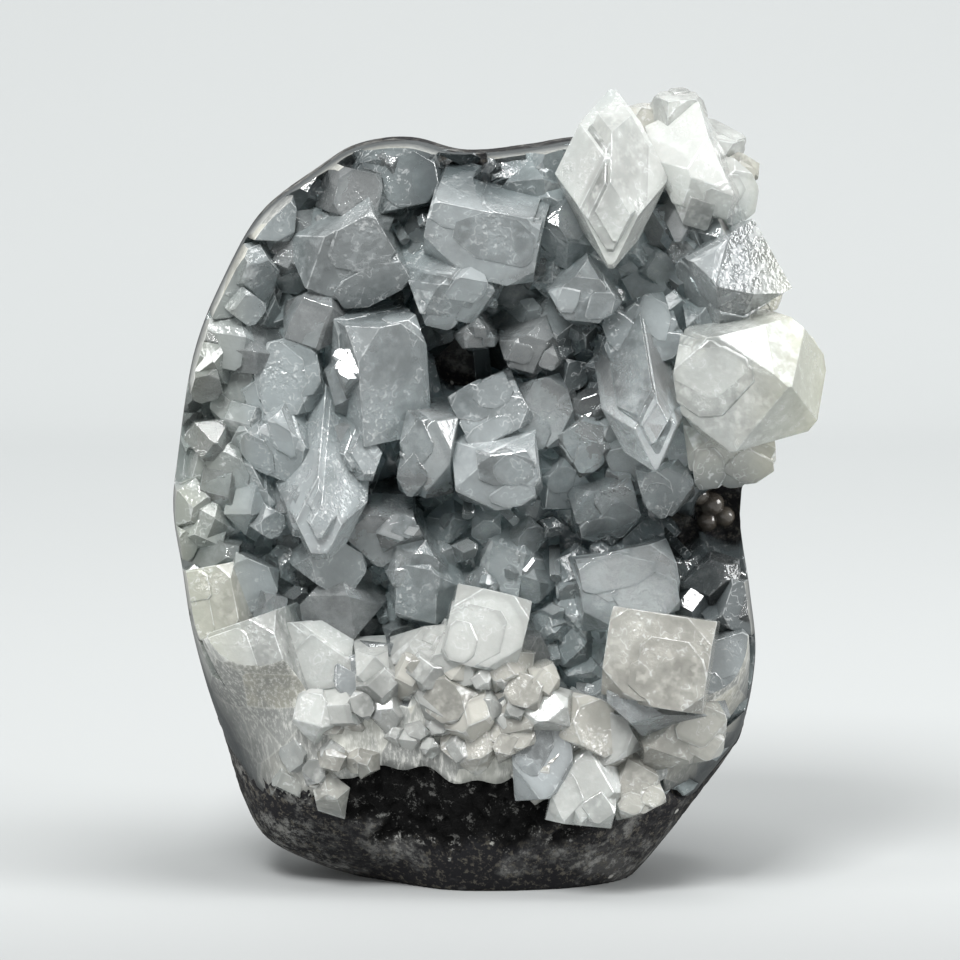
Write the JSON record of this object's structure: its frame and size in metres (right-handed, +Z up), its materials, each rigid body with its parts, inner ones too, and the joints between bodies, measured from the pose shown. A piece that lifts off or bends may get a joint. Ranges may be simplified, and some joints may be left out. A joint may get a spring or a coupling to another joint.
{
  "type": "apophyllite specimen",
  "caption": "Free-standing mineral specimen: translucent blocky and pointed crystals on a dark basalt block with ground sides and a flat cut base.",
  "frame": {"origin": "centre of the flat base", "axes": "+Z up, the crystals face -Y"},
  "size_m": [0.1313, 0.0749, 0.1605],
  "materials": {
    "basalt": "ground, partly rough",
    "apophyllite": "clear to cloudy crystal, ground where it meets the sides",
    "beads": "smooth rounded beads, glossy"
  },
  "bodies": {
    "root": {"basalt_matrix": "basalt", "apophyllite_druse": "apophyllite", "bead_cluster_top": "beads", "bead_cluster_right": "beads"}
  },
  "joints": []
}
